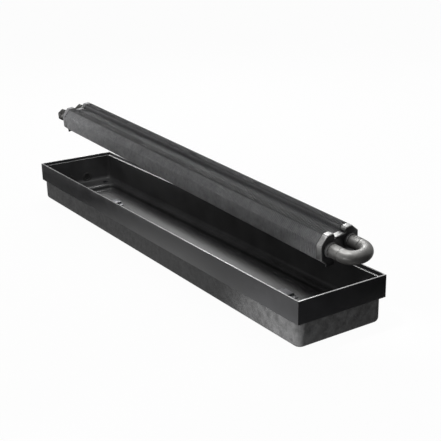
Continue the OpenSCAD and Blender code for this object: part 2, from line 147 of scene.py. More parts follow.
class ExchangerSettings(bpy.types.PropertyGroup):
    """Sizes and colours of the heat exchanger."""

    width: length("Width", "Width over the fins", 86 * MM)
    height: length("Height", "Height over the fins", 54 * MM)
    top_cut: length("Top corner cut", "Corner cut at the top of the fins", 14.5 * MM)
    bottom_cut: length("Bottom corner cut", "Corner cut at the bottom of the fins", 12.5 * MM)
    groove_width: length("Groove width", "Width of the groove between the lobes", 24 * MM)
    groove_depth: length("Groove depth", "Depth of the groove between the lobes", 8.5 * MM)
    groove_cut: length("Groove corner cut", "Corner cut at the groove's upper edges", 3.5 * MM)
    axis_height: length("Axis height", "Height of the tubes' axes when the exchanger is seated", 46.3 * MM)
    tube_distance: length("Tube distance", "Distance between the two tubes", 46 * MM)
    tube_radius: length("Tube radius", "Outer radius of the tubes", 11 * MM)
    fin_pitch: length("Fin pitch", "Distance between the fins", 4 * MM)
    fin_thickness: length("Fin thickness", "Sheet thickness of a fin", 0.4 * MM)
    collar_thickness: length("Collar thickness", "Wall of the fins' collars", 0.6 * MM)
    fin_count: bpy.props.IntProperty(name="Fins", description="Number of fins", default=211, min=2)
    first_fin: place_along("First fin", "Place of the first fin along the trough", -427.15 * MM)
    left_plate: place_along("Left plate", "Outer face of the left end plate", -442 * MM)
    right_plate: place_along("Right plate", "Outer face of the right end plate", 427.7 * MM)
    plate_thickness: length("Plate thickness", "Sheet thickness of the end plates", 1.5 * MM)
    tab_depth: length("Tab depth", "Depth of the end plates' folded tabs", 12 * MM)
    tab_gap: length("Tab gap", "Gap between neighbouring tabs", 1.2 * MM)
    bend_radius: length("Fold radius", "Outer radius of the end plates' folds", 2 * MM)
    fin_colour: colour("Fins", "Colour of the lacquered fins", (0.27, 0.27, 0.275))
    fin_edge_colour: colour("Fin edges", "Colour of the fins' cut edges", (0.32, 0.32, 0.3255))
    plate_colour: colour("Plate", "Colour of the end plates' faces", (0.018, 0.018, 0.0185))
    tab_colour: colour("Tabs", "Colour of the zinc on the end plates' tabs", (0.22, 0.22, 0.2175))
    pipe_colour: colour("Pipes", "Colour of the pipes and the return bend", (0.08, 0.079, 0.076))


class StageSettings(bpy.types.PropertyGroup):
    """The camera and the room's even light."""

    camera_azimuth: turn_of("Azimuth", "Direction from which the camera looks", 56.745)
    camera_elevation: turn_of("Elevation", "Height of the camera's view over the horizon", 19.137)
    camera_roll: turn_of("Roll", "Turn of the picture about its middle", -1.158)
    camera_place: bpy.props.FloatVectorProperty(
        name="Camera place", description="Where the camera stands",
        default=(1.4706, -0.8680, 0.6497), size=3, subtype="XYZ", unit="LENGTH")
    focal_pixels: bpy.props.FloatProperty(
        name="Focal length in pixels", description="Focal length in pixels of the square picture",
        default=883.87, min=1)
    picture_pixels: bpy.props.FloatProperty(
        name="Picture width in pixels", description="Width of the square picture in pixels",
        default=441, min=1)
    world_strength: bpy.props.FloatProperty(
        name="Room light", description="Strength of the even light from all round",
        default=0.45, min=0)


def fed(tree, kind, values=None):
    """A new node in a tree, each of its inputs linked to a socket or set to a value."""
    node = tree.nodes.new(kind)
    for key, value in (values or {}).items():
        if isinstance(value, bpy.types.NodeSocket):
            tree.links.new(value, node.inputs[key])
        else:
            node.inputs[key].default_value = value
    return node


def cleared(owner, output_kind):
    """The emptied node tree of a material or world, and its new output's surface socket."""
    owner.use_nodes = True
    owner.node_tree.nodes.clear()
    return owner.node_tree, fed(owner.node_tree, output_kind).inputs["Surface"]


def surface(name, values):
    """A new material with a Principled shader, and some of its values."""
    material = bpy.data.materials.new(name)
    tree, end = cleared(material, "ShaderNodeOutputMaterial")
    shader = fed(tree, "ShaderNodeBsdfPrincipled", values)
    tree.links.new(shader.outputs["BSDF"], end)
    return material, shader


def object_place(material, turn=(0, 0, 0), scale=(1, 1, 1), shift=(0, 0, 0)):
    """Object coordinates, turned, stretched and shifted for a pattern."""
    place = fed(material.node_tree, "ShaderNodeTexCoord")
    return fed(material.node_tree, "ShaderNodeMapping", {
        "Vector": place.outputs["Object"], "Rotation": turn, "Scale": scale, "Location": shift,
    }).outputs["Vector"]


def noise(material, place, scale, detail, roughness=0.55):
    """A noise pattern, scale is in repeats per metre."""
    return fed(material.node_tree, "ShaderNodeTexNoise", {
        "Vector": place, "Scale": scale, "Detail": detail, "Roughness": roughness,
    }).outputs["Fac"]


def spread(material, value, low, high, to_low=0.0, to_high=1.0):
    """Maps a pattern's low and high values to a new range."""
    return fed(material.node_tree, "ShaderNodeMapRange", {
        "Value": value, "From Min": low, "From Max": high, "To Min": to_low, "To Max": to_high,
    }).outputs["Result"]


def between(material, share, first, second):
    """A colour between two colours, by a share."""
    node = material.node_tree.nodes.new("ShaderNodeMix")
    node.data_type = "RGBA"
    for name, value in (("A", first), ("B", second)):
        socket = next(s for s in node.inputs if s.name == name and s.type == "RGBA")
        if isinstance(value, bpy.types.NodeSocket):
            material.node_tree.links.new(value, socket)
        else:
            socket.default_value = (*value, 1)
    factor = next(s for s in node.inputs if s.name == "Factor" and s.type == "VALUE")
    material.node_tree.links.new(share, factor)
    return next(s for s in node.outputs if s.type == "RGBA")


def combined(tree, operation, values):
    """Node values put together two by two with one operation."""
    result = values[0]
    for value in values[1:]:
        node = fed(tree, "ShaderNodeMath", {0: result, 1: value})
        node.operation = operation
        result = node.outputs["Value"]
    return result


def dress(material, shader, tone, rough, *heights):
    """Gives a shader its colour, roughness and bump patterns, each with its depth in metres."""
    bump = {"Strength": 1}
    for pattern, depth in heights:
        bump.update(Height=pattern, Distance=depth)
        bump["Normal"] = fed(material.node_tree, "ShaderNodeBump", bump).outputs["Normal"]
    for key, value in (("Base Color", tone), ("Roughness", rough), ("Normal", bump["Normal"])):
        material.node_tree.links.new(value, shader.inputs[key])


def shade(base, factor):
    """A colour made lighter or darker."""
    return tuple(min(1, channel * factor) for channel in base)


def coat_material(name, base, rough, peel, level=0.5):
    """Powder or lacquer coat with a fine orange peel and faint wear clouds."""
    material, shader = surface(name, {"Specular IOR Level": level})
    place = object_place(material)
    clouds = noise(material, place, scale=22, detail=4)
    grain = noise(material, place, scale=900, detail=2)
    tone = between(material, spread(material, clouds, 0.3, 0.7), shade(base, 0.8), shade(base, 1.25))
    dulled = spread(material, clouds, 0.3, 0.7, rough * 0.85, rough * 1.15)
    dress(material, shader, tone, dulled, (grain, peel))
    return material


def tub_material(base):
    """Mottled grey moulding with grains and shallow pits."""
    material, shader = surface("tub_mottled_grey", {"Specular IOR Level": 0.3})
    place = object_place(material)
    blots = noise(material, place, scale=70, detail=5, roughness=0.7)
    grains = noise(material, place, scale=420, detail=4, roughness=0.65)
    clouds = noise(material, place, scale=14, detail=3)
    tone = between(material, spread(material, blots, 0.36, 0.64), shade(base, 0.5), shade(base, 1.6))
    tone = between(material, spread(material, clouds, 0.3, 0.75, 0, 0.45), tone, shade(base, 0.8))
    tone = between(material, spread(material, grains, 0.56, 0.74, 0, 0.6), tone, shade(base, 1.9))
    rough = spread(material, blots, 0.3, 0.7, 0.72, 0.9)
    dress(material, shader, tone, rough, (blots, 0.6 * MM), (grains, 0.3 * MM))
    return material


def metal_material(name, base, rough, grain_scale, stretch=(1, 1, 1), turn=(0, 0, 0), stain=0.75,
                   bare=1.0):
    """Metal with stains and a drawn or brushed grain; bare is 1 where nothing dulls it."""
    material, shader = surface(name, {"Metallic": bare})
    stains = noise(material, object_place(material), scale=60, detail=5, roughness=0.6)
    grain = noise(material, object_place(material, turn, stretch), grain_scale, detail=3)
    tone = between(material, spread(material, stains, 0.32, 0.68), shade(base, stain), shade(base, 1.12))
    brushed = spread(material, grain, 0.3, 0.7, rough * 0.8, rough * 1.25)
    dress(material, shader, tone, brushed, (grain, 0.04 * MM), (stains, 0.08 * MM))
    return material


def zinc_material():
    """Zinc-plated sheet steel."""
    return metal_material("zinc_steel", (0.55, 0.56, 0.58), rough=0.38, grain_scale=500, stain=0.85)


def rubber_material(name="rubber_black", base=(0.006, 0.006, 0.006), level=0.2):
    """Matt rubber with a dusty bloom."""
    material, shader = surface(name, {"Specular IOR Level": level})
    bloom = noise(material, object_place(material), scale=160, detail=4, roughness=0.6)
    tone = between(material, spread(material, bloom, 0.35, 0.7), base, shade(base, 1.5))
    rough = spread(material, bloom, 0.3, 0.7, 0.45, 0.6)
    dress(material, shader, tone, rough, (bloom, 0.05 * MM))
    return material


def fin_material(settings):
    """Graphite lacquer, worn lighter on the fins' cut edges, with painted shade on top and in the groove.
    """
    base, edge = settings.fin_colour, settings.fin_edge_colour
    material, shader = surface("fin_graphite", {"Metallic": 0.1})
    tree = material.node_tree
    seat = lifting().inverted()
    parts = fed(tree, "ShaderNodeSeparateXYZ", {
        "Vector": object_place(material, seat.to_euler(), shift=seat.translation)})
    across, height = parts.outputs["Y"], parts.outputs["Z"]
    soft = 3 * MM
    side = settings.groove_width / 2
    top = settings.axis_height + settings.height / 2
    bottom = top - settings.groove_depth
    # Painted shade: darkens the fins inside the groove between the lobes.
    groove = combined(tree, "MULTIPLY", [
        spread(material, across, -side, -side + soft),
        spread(material, across, side, side + soft, 1, 0),
        spread(material, height, bottom - 2 * soft, bottom - soft)])
    # Painted shade: darkens the fins over their top few millimetres, which the light from above brightens.
    upward = spread(material, height, top - soft, top - MM)
    place = object_place(material)
    rubs = noise(material, place, scale=130, detail=5, roughness=0.65)
    blotches = noise(material, place, scale=45, detail=3)
    flag = fed(tree, "ShaderNodeAttribute")
    flag.attribute_name = "cut_edge"
    lacquer = between(material, spread(material, rubs, 0.3, 0.7), shade(base, 0.75), shade(base, 1.25))
    worn = between(material, spread(material, rubs, 0.35, 0.68), shade(edge, 0.6), shade(edge, 1.35))
    worn = between(material, spread(material, blotches, 0.42, 0.66), worn, shade(edge, 1.9))
    tone = between(material, flag.outputs["Fac"], lacquer, worn)
    # Painted shade on the fins' top.
    tone = between(material, upward, tone, shade(edge, 0.24))
    # Painted shade in the groove.
    tone = between(material, groove, tone, shade(edge, 0.5))
    rough = spread(material, rubs, 0.3, 0.7, 0.55, 0.75)
    dress(material, shader, tone, rough, (rubs, 0.06 * MM))
    return material


def material_named(name, make):
    """The material of that name, made by make() the first time."""
    found = bpy.data.materials.get(name)
    return found if found is not None else make()


def lifting():
    """The matrix that takes the seated exchanger to the place where it is held at rest."""
    turn = JOINTS["exchanger_turn"]
    pivot = Vector(turn["pos_m"])
    raised = Vector((0, 0, -JOINTS["exchanger_lift"]["range_m"][0]))
    angle = -math.radians(turn["range_deg"][0])
    turned = Matrix.Rotation(angle, 4, Vector(turn["axis"]))
    return Matrix.Translation(pivot) @ turned @ Matrix.Translation(raised - pivot)


def linked(name, data):
    """A new object in the scene."""
    item = bpy.data.objects.new(name, data)
    bpy.context.scene.collection.objects.link(item)
    return item


def evaluated_mesh(holder):
    """The mesh that an object's modifiers or curve give; the object itself goes."""
    bpy.context.view_layer.update()
    graph = bpy.context.evaluated_depsgraph_get()
    mesh = bpy.data.meshes.new_from_object(holder.evaluated_get(graph))
    bpy.data.objects.remove(holder)
    return mesh


def mesh_from(work, name):
    """The mesh of a bmesh, which is freed."""
    mesh = bpy.data.meshes.new(name)
    work.to_mesh(mesh)
    work.free()
    return mesh


def place_piece(mesh, name, body, materials, nodes=()):
    """Makes a finished mesh a piece that rides on a body and stands for CAD nodes."""
    mesh.name = name
    mesh.shade_smooth()
    mesh.set_sharp_from_angle(angle=SHARP_ANGLE)
    if not mesh.materials:
        for material in materials:
            mesh.materials.append(material)
    piece = linked(name, mesh)
    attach(piece, body)
    if nodes:
        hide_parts(*nodes)


def modified(mesh, *modifiers):
    """A new mesh with modifiers applied; each is a type and its settings."""
    holder = linked("holder", mesh)
    for kind, settings in modifiers:
        modifier = holder.modifiers.new(kind.lower(), kind)
        for key, value in settings.items():
            setattr(modifier, key, value)
    return evaluated_mesh(holder)


def bevelled(mesh, width, limit):
    """The mesh with its sharp edges broken, as a real piece's are."""
    return modified(mesh, ("BEVEL", {
        "width": width, "segments": 2, "limit_method": "ANGLE", "angle_limit": math.radians(limit)}))


def welded(mesh, distance):
    """A bmesh of a mesh, with points nearer to each other than a distance made one."""
    work = bmesh.new()
    work.from_mesh(mesh)
    bmesh.ops.remove_doubles(work, verts=work.verts, dist=distance)
    return work


def softened(node, edge):
    """A CAD node's mesh, its triangles joined, its flat faces whole and its sharp edges broken."""
    work = welded(frame["nodes"][node].data, CAD_WELD)
    bmesh.ops.dissolve_limit(work, angle_limit=FLAT_ANGLE, verts=work.verts, edges=work.edges)
    mesh = mesh_from(work, node)
    for attribute in [a for a in mesh.attributes if a.name == "custom_normal"]:
        mesh.attributes.remove(attribute)
    return bevelled(mesh, edge, limit=35)


def finish_nodes(names, body, material, edge):
    """Finished copies of CAD nodes that keep their shape, with softened edges."""
    for node in names:
        place_piece(softened(node, edge), f"{node}_finished", body, [material], [node])


def arc(turn, steps):
    """Angles from zero to a turn, in equal steps."""
    return [turn * step / steps for step in range(steps + 1)]


def pan_ring(half, radius, ends_z, sides_z, steps=10):
    """Points round a rounded rectangle whose ends and sides may lie at different heights."""
    points = []
    for quarter in range(4):
        sign_x = (1, -1, -1, 1)[quarter]
        sign_y = (1, 1, -1, -1)[quarter]
        for step in range(steps + 1):
            share = step / steps if quarter % 2 == 0 else 1 - step / steps
            angle = share * math.pi / 2
            eased = share * share * (3 - 2 * share)
            points.append(Vector((
                sign_x * (half[0] - radius + radius * math.cos(angle)),
                sign_y * (half[1] - radius + radius * math.sin(angle)),
                ends_z + (sides_z - ends_z) * eased)))
    return points


def level_ring(ring, radius, height):
    """A ring that reaches as far as another, all at one height."""
    half = (max(point.x for point in ring), max(point.y for point in ring))
    return pan_ring(half, radius, height, height)


def bridge(work, low, high):
    """Faces between two closed rows of vertices in a bmesh."""
    count = len(low)
    faces = []
    for i in range(count):
        j = (i + 1) % count
        faces.append(work.faces.new((low[i], low[j], high[j], high[i])))
    return faces


def loft(rings):
    """A closed mesh that joins rings of equal point counts one after the other."""
    work = bmesh.new()
    rows = [[work.verts.new(point) for point in ring] for ring in rings]
    for low, high in zip(rows, rows[1:]):
        bridge(work, low, high)
    work.faces.new(list(reversed(rows[0])))
    work.faces.new(rows[-1])
    bmesh.ops.recalc_face_normals(work, faces=work.faces)
    return mesh_from(work, "loft")


def fillet_points(radius, slope, start):
    """Inset and height along a wall that turns through a radius into a slope falling inwards."""
    fall = math.atan(slope)
    centre_z = start - slope * (radius - radius * math.sin(fall)) + radius * math.cos(fall)
    return [(radius - radius * math.cos(angle), centre_z - radius * math.sin(angle))
            for angle in arc(math.pi / 2 - fall, steps=6)]


def shoulder_points(settings, width):
    """Inset and height from a liner's wall, down its shoulder and over the recess's lip."""
    slope = settings.shoulder_fall / width
    recess_top = settings.shoulder_height - settings.shoulder_fall
    points = fillet_points(settings.shoulder_radius, slope, settings.shoulder_height)
    lip = settings.lip_radius
    fall = math.atan(slope)
    turn = math.pi / 2 - fall
    reach = lip * math.tan(turn / 2)
    flat = (width - reach * math.cos(fall), recess_top + reach * math.sin(fall))
    points.append(((points[-1][0] + flat[0]) / 2, (points[-1][1] + flat[1]) / 2))
    centre = (width - lip, recess_top - reach)
    for angle in arc(turn, steps=5):
        points.append((centre[0] + lip * math.cos(turn - angle),
                       centre[1] + lip * math.sin(turn - angle)))
    return points


def liner_rings(settings, grow=0.0):
    """Rings of the liner's inside from its top edge to its floor, grown outwards by a margin."""
    half = (RAIL_HIGH.x - settings.wall_inset, -RAIL_LOW.y - settings.wall_inset)
    top = LINER_HIGH.z
    radius = settings.wall_radius
    sides = shoulder_points(settings, settings.side_shoulder)
    ends = shoulder_points(settings, settings.end_shoulder)
    rings = [pan_ring((half[0] + grow, half[1] + grow), radius + grow, top, top)]
    for k, (side, end) in enumerate(zip(sides, ends)):
        corner = radius + (settings.recess_radius - radius) * k / (len(sides) - 1)
        rings.append(pan_ring(
            (half[0] - end[0] + grow, half[1] - side[0] + grow), corner + grow,
            end[1] - grow, side[1] - grow))
    recess = (half[0] - settings.end_shoulder, half[1] - settings.side_shoulder)
    cove = settings.cove_radius
    floor_z = LINER_LOW.z + settings.liner_thickness
    for angle in arc(math.pi / 2, steps=7):
        inset = cove - cove * math.cos(angle)
        height = floor_z + cove - cove * math.sin(angle)
        corner = max(settings.recess_radius - inset, LEAST_CORNER)
        rings.append(pan_ring(
            (recess[0] - inset + grow, recess[1] - inset + grow), corner + grow,
            height - grow, height - grow))
    return rings


def cylinders(places, radius, reach, along_x=False):
    """Plain cylinders, upright or along X, that reach as far to both sides of their places."""
    turn = Matrix.Rotation(math.pi / 2, 4, "Y") if along_x else Matrix.Identity(4)
    work = bmesh.new()
    for place in places:
        bmesh.ops.create_cone(
            work, cap_ends=True, segments=48, radius1=radius, radius2=radius,
            depth=2 * reach, matrix=Matrix.Translation(place) @ turn)
    return mesh_from(work, "cylinders")


def node_centres(node):
    """Middles of a CAD node's separate solids."""
    work = welded(frame["nodes"][node].data, CAD_WELD)
    left = set(work.verts)
    centres = []
    while left:
        group, edge = set(), [left.pop()]
        while edge:
            vert = edge.pop()
            group.add(vert)
            near = {e.other_vert(vert) for e in vert.link_edges} - group
            edge.extend(near & left)
            left -= near
        low = Vector(map(min, *[v.co for v in group]))
        high = Vector(map(max, *[v.co for v in group]))
        centres.append((low + high) / 2)
    work.free()
    return centres


def with_openings(mesh):
    """The liner's or tub's mesh with the floor fixings' holes and the pipe entries cut through."""
    holders = [
        linked("cutter", cylinders(node_centres("fixing_bushes"), FIXING_RADIUS, FIXING_REACH)),
        linked("cutter", cylinders(node_centres("pipe_grommets"), ENTRY_RADIUS, ENTRY_REACH, True)),
    ]
    result = modified(mesh, *[
        ("BOOLEAN", {"operation": "DIFFERENCE", "solver": "EXACT", "object": holder})
        for holder in holders])
    for holder in holders:
        bpy.data.objects.remove(holder)
    return result


def mark_upward(mesh):
    """Gives a rail's top edge the second material and its grille ledge the third; these upward faces carry
    painted highlight, the left rail's ledge painted shade.
    """
    for face in mesh.polygons:
        if face.normal.z > 0.5:
            face.material_index = 1 if face.center.z > RAIL_HIGH.z - RAIL_SHEET else 2
        else:
            face.material_index = 0


class CONVECTOR_OT_frame_rails(bpy.types.Operator):
    """Finishes the four frame rails and their corner keys"""

    bl_idname = "convector.frame_rails"
    bl_label = "Frame rails"

    def execute(self, context):
        settings = context.scene.convector_trough
        coat = coat_material(
            "frame_black", settings.frame_colour, rough=0.36, peel=0.012 * MM, level=0.35)
        # Painted highlight on the rails' upward top edges.
        edge = coat_material("frame_top_highlight", settings.edge_colour, rough=0.3, peel=0.01 * MM)
        # Painted highlight on the grille ledges' upward faces.
        ledge = coat_material("frame_ledge", settings.ledge_highlight_colour, rough=0.4, peel=0.02 * MM)
        # Painted shade: a darker copy of the ledge highlight, for the left rail's ledge.
        dull = coat_material("rail_ledge_painted_shade", shade(settings.ledge_highlight_colour, 0.3), rough=0.6,
                             peel=0.02 * MM, level=0.2)
        for node in ("near_rail", "far_rail", "left_rail", "right_rail"):
            mesh = softened(node, edge=0.35 * MM)
            mark_upward(mesh)
            # The left rail's ledge takes the painted-shade copy, the other rails the painted highlight.
            coats = [coat, edge, dull if node == "left_rail" else ledge]
            place_piece(mesh, f"{node}_coated", "trough", coats, [node])
        zinc = material_named("zinc_steel", zinc_material)
        finish_nodes(["corner_keys"], "trough", zinc, edge=0.2 * MM)
        return {"FINISHED"}


class CONVECTOR_OT_insulating_tub(bpy.types.Operator):
    """Builds the mottled grey tub under the frame"""

    bl_idname = "convector.insulating_tub"
    bl_label = "Insulating tub"

    def execute(self, context):
        settings = context.scene.convector_trough
        half = (TUB_HIGH.x, TUB_HIGH.y)
        top = TUB_HIGH.z
        edge = settings.tub_edge
        corner = settings.tub_corner
        rings = []
        for angle in arc(math.pi / 2, steps=8):
            inset = edge - edge * math.sin(angle)
            height = edge - edge * math.cos(angle)
            rings.append(pan_ring(
                (half[0] - inset, half[1] - inset), corner - inset, height, height))
        rings.append(pan_ring(half, corner, top, top))
        grow = settings.liner_thickness + TUB_CLEARANCE
        inside = liner_rings(settings, grow)
        inside[0] = level_ring(inside[0], settings.wall_radius + grow, top)
        mesh = with_openings(loft(rings + inside))
        material = tub_material(settings.tub_colour)
        place_piece(
            mesh, "insulating_tub_moulded", "trough", [material], ["insulating_tub"])
        return {"FINISHED"}


class CONVECTOR_OT_trough_liner(bpy.types.Operator):
    """Builds the glossy black liner with its shoulders, recess and flange"""

    bl_idname = "convector.trough_liner"
    bl_label = "Trough liner"

    def execute(self, context):
        settings = context.scene.convector_trough
        sheet = settings.liner_thickness
        flange = (LINER_HIGH.x, LINER_HIGH.y)
        top = LINER_HIGH.z
        outer = liner_rings(settings, sheet)
        outer[0] = level_ring(outer[0], settings.wall_radius + sheet, top - sheet)
        rings = [
            *reversed(liner_rings(settings)),
            pan_ring(flange, FLANGE_CORNER, top, top),
            pan_ring(flange, FLANGE_CORNER, top - sheet, top - sheet),
            *outer,
        ]
        material = coat_material(
            "liner_black", settings.liner_colour, rough=0.42, peel=0.004 * MM, level=0.16)
        place_piece(with_openings(loft(rings)), "trough_liner_glossy", "trough",
                    [material], ["trough_liner"])
        return {"FINISHED"}


class CONVECTOR_OT_trough_fittings(bpy.types.Operator):
    """Finishes the fixing bushes, grommets, supports and rivets in the trough"""

    bl_idname = "convector.trough_fittings"
    bl_label = "Trough fittings"

    def execute(self, context):
        # The zinc fixing bushes are darkened nearly to black.
        dull = metal_material(
            "bush_zinc_darkened", (0.04, 0.04, 0.042), rough=0.6, grain_scale=500, stain=0.85)
        rubber = rubber_material("grommet_rubber", (0.024, 0.024, 0.024), level=0.12)
        black = bpy.data.materials["liner_black"]
        supports = ("left_support", "right_support")
        finish_nodes(["fixing_bushes"], "trough", dull, edge=0.3 * MM)
        finish_nodes(["pipe_grommets"], "trough", rubber, edge=0.4 * MM)
        skins = cylinders(node_centres("pipe_grommets"), SKIN_RADIUS, SKIN_REACH, along_x=True)
        place_piece(skins, "grommet_skins", "trough", [rubber])
        finish_nodes(supports, "trough", black, edge=0.25 * MM)
        finish_nodes(["support_rivets"], "trough", black, edge=0.15 * MM)
        return {"FINISHED"}


def lobe_outline(settings, margin=0.0):
    """Lobed outline of a fin across the exchanger, drawn in by an even margin."""
    half_w = settings.width / 2
    half_h = settings.height / 2
    groove = settings.groove_width / 2
    k = margin * (math.sqrt(2) - 1)
    right = [
        (groove + margin, half_h - settings.groove_depth - margin),
        (groove + margin, half_h - settings.groove_cut - k),
        (groove + settings.groove_cut + k, half_h - margin),
        (half_w - settings.top_cut - k, half_h - margin),
        (half_w - margin, half_h - settings.top_cut - k),
        (half_w - margin, -half_h + settings.bottom_cut + k),
        (half_w - settings.bottom_cut - k, -half_h + margin),
    ]
    left = [(-y, z) for y, z in reversed(right)]
    return [Vector((0, y, z + settings.axis_height)) for y, z in right + left]


def tube_sides(settings):
    """Places of the two tubes across the exchanger."""
    return -settings.tube_distance / 2, settings.tube_distance / 2


def circle_points(y, z, radius, count):
    """Points round a circle across the exchanger."""
    return [Vector((0, y + radius * math.cos(2 * math.pi * i / count),
                    z + radius * math.sin(2 * math.pi * i / count))) for i in range(count)]


def sheet_with_holes(outline, holes, thickness):
    """A flat sheet across X with holes, as a bmesh from x 0 to its thickness."""
    curve = bpy.data.curves.new("outline", "CURVE")
    curve.dimensions = "2D"
    curve.fill_mode = "BOTH"
    curve.extrude = thickness / 2
    for loop in [outline, *holes]:
        spline = curve.splines.new("POLY")
        spline.points.add(len(loop) - 1)
        for point, place in zip(spline.points, loop):
            point.co = (place.y, place.z, 0, 1)
        spline.use_cyclic_u = True
    mesh = evaluated_mesh(linked("outline", curve))
    across = Matrix(((0, 0, 1, thickness / 2), (1, 0, 0, 0), (0, 1, 0, 0), (0, 0, 0, 1)))
    mesh.transform(across)
    work = welded(mesh, SHEET_WELD)
    bmesh.ops.recalc_face_normals(work, faces=work.faces)
    bpy.data.meshes.remove(mesh)
    return work


def ring_tube(work, y, z, radii, x_from, x_to, count):
    """Adds a short tube along X to a bmesh."""
    rows = []
    for radius, x in ((radii[0], x_from), (radii[1], x_from), (radii[1], x_to), (radii[0], x_to)):
        points = circle_points(y, z, radius, count)
        rows.append([work.verts.new(point + Vector((x, 0, 0))) for point in points])
    for low, high in zip(rows, rows[1:] + rows[:1]):
        bridge(work, low, high)


def fin_mesh(settings):
    """One lobed fin with its two collars and a flag on its cut edges."""
    count = 18
    z = settings.axis_height
    sides = tube_sides(settings)
    bore = settings.tube_radius + COLLAR_CLEARANCE
    collar = bore + settings.collar_thickness
    holes = [circle_points(y, z, bore, count) for y in sides]
    work = sheet_with_holes(lobe_outline(settings), holes, settings.fin_thickness)
    flag = work.faces.layers.float.new("cut_edge")
    reach = settings.tube_radius * 1.3
    for face in work.faces:
        middle = face.calc_center_median()
        outer = all(math.hypot(middle.y - y, middle.z - z) > reach for y in sides)
        face[flag] = 1.0 if abs(face.normal.x) < 0.5 and outer else 0.0
    for y in sides:
        ring_tube(work, y, z, (bore, collar), settings.fin_thickness, settings.fin_pitch, count)
    bmesh.ops.recalc_face_normals(work, faces=work.faces)
    return mesh_from(work, "fin")


def socket_named(group, name):
    """Identifier of a node group's input, for setting it on a modifier."""
    return next(item.identifier for item in group.interface.items_tree
                if item.item_type == "SOCKET" and item.in_out == "INPUT" and item.name == name)


def fin_row_group():
    """Geometry nodes that repeat one fin along X, each a little crooked about its middle."""
    group = bpy.data.node_groups.new("fin_row", "GeometryNodeTree")
    for name, kind in (("Geometry", "Geometry"), ("Fins", "Int"), ("Pitch", "Float"),
                       ("Crook", "Float"), ("Middle", "Vector"), ("Material", "Material")):
        group.interface.new_socket(name, in_out="INPUT", socket_type=f"NodeSocket{kind}")
    group.interface.new_socket("Geometry", in_out="OUTPUT", socket_type="NodeSocketGeometry")
    given = fed(group, "NodeGroupInput").outputs

    # The row of points, one for each fin, at the height of the fins' middle
    offset = fed(group, "ShaderNodeCombineXYZ", {"X": given["Pitch"]})
    row = fed(group, "GeometryNodeMeshLine", {
        "Count": given["Fins"], "Offset": offset.outputs["Vector"]})
    row.mode = "OFFSET"
    moved = fed(group, "GeometryNodeSetPosition", {
        "Geometry": row.outputs["Mesh"], "Offset": given["Middle"]})

    # The fin with its middle at the origin, so that it turns about it
    back = fed(group, "ShaderNodeVectorMath", {0: given["Middle"]})
    back.operation = "SCALE"
    back.inputs["Scale"].default_value = -1
    centred = fed(group, "GeometryNodeTransform", {
        "Geometry": given["Geometry"], "Translation": back.outputs["Vector"]})

    # A random turn about Y and Z, up to the crook either way
    least = fed(group, "ShaderNodeMath", {0: given["Crook"], 1: -1})
    least.operation = "MULTIPLY"
    crook = fed(group, "FunctionNodeRandomValue", {"Seed": CROOK_SEED})
    crook.data_type = "FLOAT_VECTOR"
    for name, limit in (("Min", least.outputs["Value"]), ("Max", given["Crook"])):
        turn = fed(group, "ShaderNodeCombineXYZ", {"Y": limit, "Z": limit})
        socket = next(s for s in crook.inputs if s.name == name and s.type == "VECTOR")
        group.links.new(turn.outputs["Vector"], socket)
    crooked = next(s for s in crook.outputs if s.type == "VECTOR")

    # The fins on their points, as one painted mesh
    place = fed(group, "GeometryNodeInstanceOnPoints", {
        "Points": moved.outputs["Geometry"], "Instance": centred.outputs["Geometry"],
        "Rotation": crooked})
    real = fed(group, "GeometryNodeRealizeInstances", {"Geometry": place.outputs["Instances"]})
    paint = fed(group, "GeometryNodeSetMaterial", {
        "Geometry": real.outputs["Geometry"], "Material": given["Material"]})
    fed(group, "NodeGroupOutput", {"Geometry": paint.outputs["Geometry"]})
    return group


class CONVECTOR_OT_fins(bpy.types.Operator):
    """Builds the row of lobed fins with geometry nodes"""

    bl_idname = "convector.fins"
    bl_label = "Fins"

    def execute(self, context):
        settings = context.scene.convector_exchanger
        material = fin_material(settings)
        holder = linked("fin_row", fin_mesh(settings))
        modifier = holder.modifiers.new("fin_row", "NODES")
        modifier.node_group = fin_row_group()
        values = {
            "Fins": settings.fin_count,
            "Pitch": settings.fin_pitch,
            "Crook": FIN_CROOK,
            "Middle": (0, 0, settings.axis_height),
            "Material": material,
        }
        for name, value in values.items():
            modifier[socket_named(modifier.node_group, name)] = value
        mesh = evaluated_mesh(holder)
        start = Matrix.Translation((settings.first_fin - settings.fin_thickness / 2, 0, 0))
        mesh.transform(lifting() @ start)
        place_piece(
            mesh, "fin_pack_lacquered", "exchanger", [material], ["fin_pack"])
        return {"FINISHED"}


def folded_tab(work, start, end, inward, settings, trims):
    """Adds one tab, folded back from a straight edge of the end plate's face."""
    along = (end - start).normalized()
    ends = (start + along * trims[0], end - along * trims[1])
    sheet = settings.plate_thickness
    fold = settings.bend_radius
    slim = fold - sheet
    outer, inner = [], []
    for angle in arc(math.pi / 2, steps=5):
        outer.append((fold - fold * math.sin(angle), fold - fold * math.cos(angle)))
        inner.append((fold - slim * math.sin(angle), fold - slim * math.cos(angle)))
    outer.append((0, settings.tab_depth))
    inner.append((sheet, settings.tab_depth))
    profile = outer + list(reversed(inner))
    rows = [[work.verts.new(place + inward * drawn - Vector((back, 0, 0)))
             for drawn, back in profile] for place in ends]
    faces = bridge(work, *rows)
    faces.append(work.faces.new(list(reversed(rows[0]))))
    faces.append(work.faces.new(rows[1]))
    return faces


def plate_foot(work, y, settings):
    """Adds the foot under one lobe of an end plate."""
    low = settings.axis_height - settings.height / 2 - PLATE_FOOT_HEIGHT
    tall = PLATE_FOOT_HEIGHT + settings.bend_radius * 1.5
    for vert in bmesh.ops.create_cube(work, size=1)["verts"]:
        vert.co = Vector((
            (vert.co.x - 0.5) * settings.plate_thickness,
            vert.co.y * PLATE_FOOT_WIDTH + y,
            low + (vert.co.z + 0.5) * tall))


